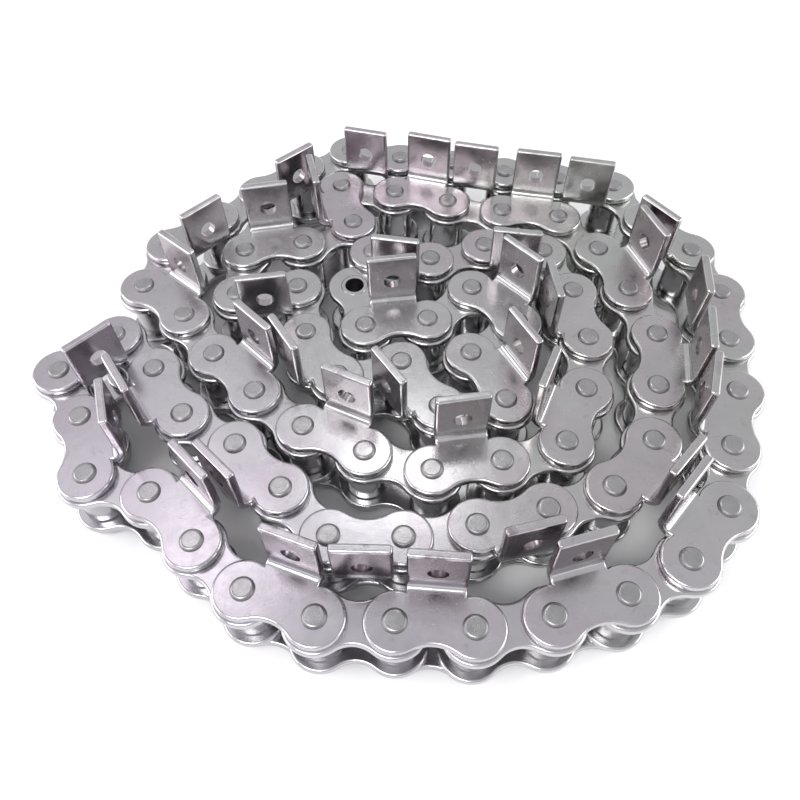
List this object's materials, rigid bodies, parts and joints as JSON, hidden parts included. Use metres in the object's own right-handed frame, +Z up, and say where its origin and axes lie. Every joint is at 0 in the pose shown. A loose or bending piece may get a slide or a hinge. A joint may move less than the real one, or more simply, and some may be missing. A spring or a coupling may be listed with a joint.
{
  "type": "attachment roller chain",
  "caption": "Stainless roller chain with a bent lug and hole on alternate upper side plates, for carrying slats or flights, lying on its side in a flat coil.",
  "frame": {"origin": "centre of the bounding box footprint, on the surface that the lower pin ends stand on", "axes": "+Z up along the pins and lugs, +X along the longest side of the coil, the folded end at -X"},
  "size_m": [0.2174, 0.1934, 0.0403],
  "materials": {
    "lug_plate_steel": "tumbled and satin polished stainless steel",
    "pin_plate_steel": "tumbled and satin polished stainless steel",
    "roller_plate_steel": "tumbled and satin polished stainless steel",
    "pin_steel": "bright riveted stainless steel",
    "bush_steel": "bright stainless steel",
    "roller_steel": "ground and polished stainless steel"
  },
  "bodies": {
    "coil": {"lug_plates": "lug_plate_steel", "plain_pin_link_plates": "pin_plate_steel", "pins": "pin_steel", "upper_roller_link_plates": "roller_plate_steel", "lower_roller_link_plates": "roller_plate_steel", "fifth_roller_link_upper_plate": "roller_plate_steel", "fifth_roller_link_lower_plate": "roller_plate_steel", "bushes": "bush_steel", "inner_turn_rollers": "roller_steel"},
    "first_pin_link": {"first_pin_link_lug_plate": "lug_plate_steel", "first_pin_link_plain_plate": "pin_plate_steel", "first_pin_link_pins": "pin_steel"},
    "end_roller_link": {"end_roller_link_upper_plate": "roller_plate_steel", "end_roller_link_lower_plate": "roller_plate_steel", "end_roller_link_bushes": "bush_steel"},
    "last_pin_link": {"last_pin_link_lug_plate": "lug_plate_steel", "last_pin_link_plain_plate": "pin_plate_steel", "last_pin_link_pins": "pin_steel"},
    "end_roller_a": {"end_roller_01": "roller_steel"},
    "end_roller_b": {"end_roller_02": "roller_steel"},
    "roller_01": {"outer_turn_roller_01": "roller_steel"},
    "roller_02": {"outer_turn_roller_02": "roller_steel"},
    "roller_03": {"outer_turn_roller_03": "roller_steel"},
    "roller_04": {"outer_turn_roller_04": "roller_steel"},
    "roller_05": {"outer_turn_roller_05": "roller_steel"},
    "roller_06": {"outer_turn_roller_06": "roller_steel"},
    "roller_07": {"outer_turn_roller_07": "roller_steel"},
    "roller_08": {"outer_turn_roller_08": "roller_steel"},
    "roller_09": {"outer_turn_roller_09": "roller_steel"},
    "roller_10": {"outer_turn_roller_10": "roller_steel"},
    "roller_11": {"outer_turn_roller_11": "roller_steel"},
    "roller_12": {"outer_turn_roller_12": "roller_steel"},
    "roller_13": {"outer_turn_roller_13": "roller_steel"},
    "roller_14": {"outer_turn_roller_14": "roller_steel"},
    "roller_15": {"outer_turn_roller_15": "roller_steel"},
    "roller_16": {"outer_turn_roller_16": "roller_steel"},
    "roller_17": {"outer_turn_roller_17": "roller_steel"},
    "roller_18": {"outer_turn_roller_18": "roller_steel"},
    "roller_19": {"outer_turn_roller_19": "roller_steel"},
    "roller_20": {"outer_turn_roller_20": "roller_steel"},
    "roller_21": {"outer_turn_roller_21": "roller_steel"},
    "roller_22": {"outer_turn_roller_22": "roller_steel"},
    "roller_23": {"outer_turn_roller_23": "roller_steel"},
    "roller_24": {"outer_turn_roller_24": "roller_steel"},
    "roller_25": {"outer_turn_roller_25": "roller_steel"},
    "roller_26": {"outer_turn_roller_26": "roller_steel"},
    "roller_27": {"outer_turn_roller_27": "roller_steel"},
    "roller_28": {"outer_turn_roller_28": "roller_steel"},
    "roller_29": {"outer_turn_roller_29": "roller_steel"},
    "roller_30": {"outer_turn_roller_30": "roller_steel"},
    "roller_31": {"outer_turn_roller_31": "roller_steel"},
    "roller_32": {"outer_turn_roller_32": "roller_steel"},
    "roller_33": {"outer_turn_roller_33": "roller_steel"},
    "roller_34": {"outer_turn_roller_34": "roller_steel"}
  },
  "joints": [
    {"name": "first_pin_link_hinge", "type": "hinge", "parent": "coil", "child": "first_pin_link", "pos_m": [0.00818, 0.00649, 0.0121], "axis": [0, 0, 1], "range_deg": [-3.5, 0.5]},
    {"name": "end_roller_link_hinge", "type": "hinge", "parent": "first_pin_link", "child": "end_roller_link", "pos_m": [-0.01074, 0.00429, 0.0121], "axis": [0, 0, -1], "range_deg": [-2, 28]},
    {"name": "last_pin_link_hinge", "type": "hinge", "parent": "coil", "child": "last_pin_link", "pos_m": [0.00996, 0.03205, 0.0121], "axis": [0, 0, 1], "range_deg": [0, 4]},
    {"name": "end_roller_a_spin", "type": "hinge", "parent": "end_roller_link", "child": "end_roller_a", "pos_m": [-0.01463, 0.02294, 0.0121], "axis": [0, 0, 1], "continuous": true},
    {"name": "end_roller_b_spin", "type": "hinge", "parent": "end_roller_link", "child": "end_roller_b", "pos_m": [-0.01074, 0.00429, 0.0121], "axis": [0, 0, 1], "continuous": true},
    {"name": "roller_01_spin", "type": "hinge", "parent": "coil", "child": "roller_01", "pos_m": [-0.10025, -0.01118, 0.0121], "axis": [0, 0, 1], "continuous": true},
    {"name": "roller_02_spin", "type": "hinge", "parent": "coil", "child": "roller_02", "pos_m": [-0.09037, -0.02747, 0.0121], "axis": [0, 0, 1], "continuous": true},
    {"name": "roller_03_spin", "type": "hinge", "parent": "coil", "child": "roller_03", "pos_m": [-0.08478, -0.04569, 0.0121], "axis": [0, 0, 1], "continuous": true},
    {"name": "roller_04_spin", "type": "hinge", "parent": "coil", "child": "roller_04", "pos_m": [-0.06667, -0.05158, 0.0121], "axis": [0, 0, 1], "continuous": true},
    {"name": "roller_05_spin", "type": "hinge", "parent": "coil", "child": "roller_05", "pos_m": [-0.05349, -0.06533, 0.0121], "axis": [0, 0, 1], "continuous": true},
    {"name": "roller_06_spin", "type": "hinge", "parent": "coil", "child": "roller_06", "pos_m": [-0.03934, -0.07809, 0.0121], "axis": [0, 0, 1], "continuous": true},
    {"name": "roller_07_spin", "type": "hinge", "parent": "coil", "child": "roller_07", "pos_m": [-0.02162, -0.08509, 0.0121], "axis": [0, 0, 1], "continuous": true},
    {"name": "roller_08_spin", "type": "hinge", "parent": "coil", "child": "roller_08", "pos_m": [-0.00262, -0.08639, 0.0121], "axis": [0, 0, 1], "continuous": true},
    {"name": "roller_09_spin", "type": "hinge", "parent": "coil", "child": "roller_09", "pos_m": [0.01635, -0.08818, 0.0121], "axis": [0, 0, 1], "continuous": true},
    {"name": "roller_10_spin", "type": "hinge", "parent": "coil", "child": "roller_10", "pos_m": [0.03522, -0.0856, 0.0121], "axis": [0, 0, 1], "continuous": true},
    {"name": "roller_11_spin", "type": "hinge", "parent": "coil", "child": "roller_11", "pos_m": [0.05364, -0.08073, 0.0121], "axis": [0, 0, 1], "continuous": true},
    {"name": "roller_12_spin", "type": "hinge", "parent": "coil", "child": "roller_12", "pos_m": [0.07065, -0.07215, 0.0121], "axis": [0, 0, 1], "continuous": true},
    {"name": "roller_13_spin", "type": "hinge", "parent": "coil", "child": "roller_13", "pos_m": [0.0836, -0.05818, 0.0121], "axis": [0, 0, 1], "continuous": true},
    {"name": "roller_14_spin", "type": "hinge", "parent": "coil", "child": "roller_14", "pos_m": [0.08932, -0.04001, 0.0121], "axis": [0, 0, 1], "continuous": true},
    {"name": "roller_15_spin", "type": "hinge", "parent": "coil", "child": "roller_15", "pos_m": [0.09547, -0.02198, 0.0121], "axis": [0, 0, 1], "continuous": true},
    {"name": "roller_16_spin", "type": "hinge", "parent": "coil", "child": "roller_16", "pos_m": [0.09797, -0.00309, 0.0121], "axis": [0, 0, 1], "continuous": true},
    {"name": "roller_17_spin", "type": "hinge", "parent": "coil", "child": "roller_17", "pos_m": [0.10025, 0.01582, 0.0121], "axis": [0, 0, 1], "continuous": true},
    {"name": "roller_18_spin", "type": "hinge", "parent": "coil", "child": "roller_18", "pos_m": [0.09544, 0.03425, 0.0121], "axis": [0, 0, 1], "continuous": true},
    {"name": "roller_19_spin", "type": "hinge", "parent": "coil", "child": "roller_19", "pos_m": [0.08389, 0.04941, 0.0121], "axis": [0, 0, 1], "continuous": true},
    {"name": "roller_20_spin", "type": "hinge", "parent": "coil", "child": "roller_20", "pos_m": [0.07521, 0.06636, 0.0121], "axis": [0, 0, 1], "continuous": true},
    {"name": "roller_21_spin", "type": "hinge", "parent": "coil", "child": "roller_21", "pos_m": [0.05662, 0.07054, 0.0121], "axis": [0, 0, 1], "continuous": true},
    {"name": "roller_22_spin", "type": "hinge", "parent": "coil", "child": "roller_22", "pos_m": [0.03805, 0.07478, 0.0121], "axis": [0, 0, 1], "continuous": true},
    {"name": "roller_23_spin", "type": "hinge", "parent": "coil", "child": "roller_23", "pos_m": [0.01955, 0.07932, 0.0121], "axis": [0, 0, 1], "continuous": true},
    {"name": "roller_24_spin", "type": "hinge", "parent": "coil", "child": "roller_24", "pos_m": [0.0009, 0.0832, 0.0121], "axis": [0, 0, 1], "continuous": true},
    {"name": "roller_25_spin", "type": "hinge", "parent": "coil", "child": "roller_25", "pos_m": [-0.01749, 0.08818, 0.0121], "axis": [0, 0, 1], "continuous": true},
    {"name": "roller_26_spin", "type": "hinge", "parent": "coil", "child": "roller_26", "pos_m": [-0.03408, 0.07882, 0.0121], "axis": [0, 0, 1], "continuous": true},
    {"name": "roller_27_spin", "type": "hinge", "parent": "coil", "child": "roller_27", "pos_m": [-0.04858, 0.06647, 0.0121], "axis": [0, 0, 1], "continuous": true},
    {"name": "roller_28_spin", "type": "hinge", "parent": "coil", "child": "roller_28", "pos_m": [-0.06247, 0.05343, 0.0121], "axis": [0, 0, 1], "continuous": true},
    {"name": "roller_29_spin", "type": "hinge", "parent": "coil", "child": "roller_29", "pos_m": [-0.07626, 0.04029, 0.0121], "axis": [0, 0, 1], "continuous": true},
    {"name": "roller_30_spin", "type": "hinge", "parent": "coil", "child": "roller_30", "pos_m": [-0.0812, 0.02189, 0.0121], "axis": [0, 0, 1], "continuous": true},
    {"name": "roller_31_spin", "type": "hinge", "parent": "coil", "child": "roller_31", "pos_m": [-0.06663, 0.00962, 0.0121], "axis": [0, 0, 1], "continuous": true},
    {"name": "roller_32_spin", "type": "hinge", "parent": "coil", "child": "roller_32", "pos_m": [-0.05555, -0.00588, 0.0121], "axis": [0, 0, 1], "continuous": true},
    {"name": "roller_33_spin", "type": "hinge", "parent": "coil", "child": "roller_33", "pos_m": [-0.04219, -0.01946, 0.0121], "axis": [0, 0, 1], "continuous": true},
    {"name": "roller_34_spin", "type": "hinge", "parent": "coil", "child": "roller_34", "pos_m": [-0.02758, -0.03169, 0.0121], "axis": [0, 0, 1], "continuous": true}
  ]
}
